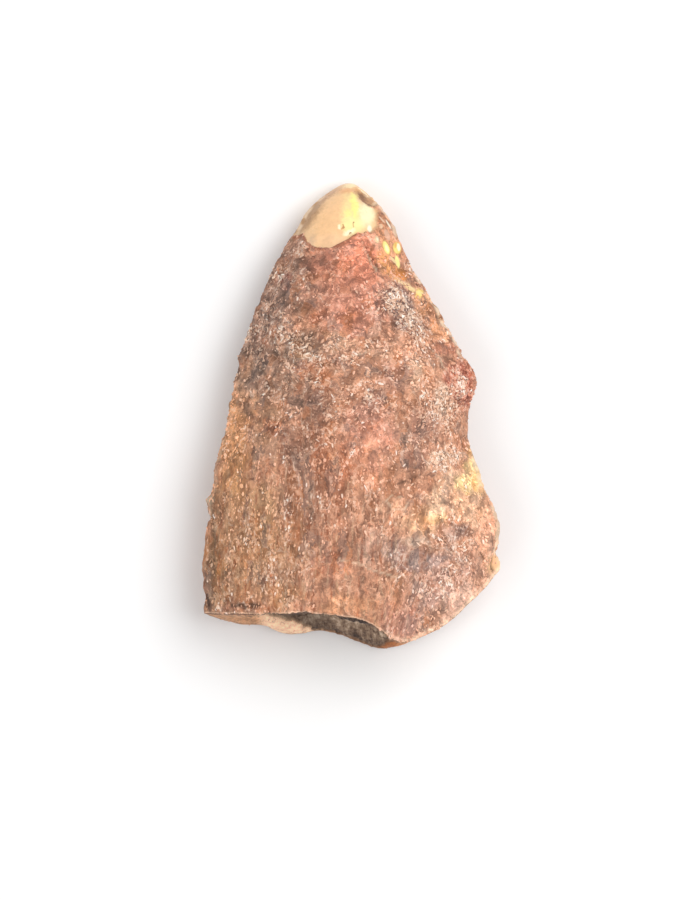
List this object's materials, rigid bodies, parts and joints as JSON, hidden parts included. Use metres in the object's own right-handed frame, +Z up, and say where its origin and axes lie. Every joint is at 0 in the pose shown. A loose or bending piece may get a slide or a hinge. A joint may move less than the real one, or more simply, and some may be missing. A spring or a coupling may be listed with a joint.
{
  "type": "fossil majungasaurus tooth",
  "caption": "Broken crown of a meat-eating dinosaur's tooth turned to stone, with a worn tip and saw-edged keels, lying on its flatter side.",
  "frame": {"origin": "middle of the tooth's box, on the plane that it rests on", "axes": "+Y along the tooth towards its tip, +Z up through its rounder outer side, +X across it from keel to keel"},
  "size_m": [0.016, 0.0252, 0.0077],
  "materials": {
    "fossil_enamel": "red-brown to mauve stained enamel, pitted and sugared with pale grains, satin, with a polished cream tip"
  },
  "bodies": {
    "root": {"tooth": "fossil_enamel"}
  },
  "joints": []
}
